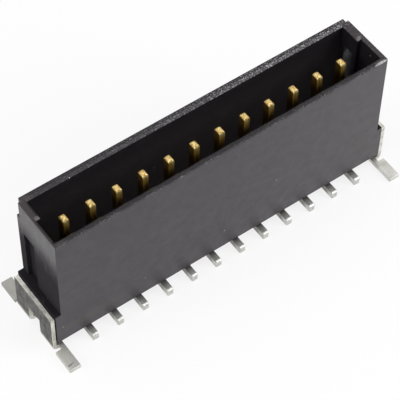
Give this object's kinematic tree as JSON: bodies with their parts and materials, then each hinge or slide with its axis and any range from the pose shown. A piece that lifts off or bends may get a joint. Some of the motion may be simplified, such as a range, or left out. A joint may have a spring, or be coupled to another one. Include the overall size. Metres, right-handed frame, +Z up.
{
  "type": "pin header",
  "caption": "Single-row shrouded pin header for surface mounting: keyed black housing open at the top, gold pins in its cavity, solder tails along the front, a sheet-metal hold-down clip at each end.",
  "frame": {"origin": "on the board surface, in the middle of the row and midway between the front and back solder feet", "axes": "+X along the row of contacts, +Y from the front with the solder tails to the back, +Z up from the board to the mating rim"},
  "size_m": [0.0176, 0.0054, 0.0072],
  "materials": {
    "housing": "moulded satin black",
    "contact": "gold-plated pin, tinned tail",
    "clip": "matt tin plate"
  },
  "bodies": {
    "root": {"housing": "housing", "contact_01": "contact", "contact_02": "contact", "contact_03": "contact", "contact_04": "contact", "contact_05": "contact", "contact_06": "contact", "contact_07": "contact", "contact_08": "contact", "contact_09": "contact", "contact_10": "contact", "contact_11": "contact", "contact_12": "contact", "clip_left": "clip", "clip_right": "clip"}
  },
  "joints": []
}
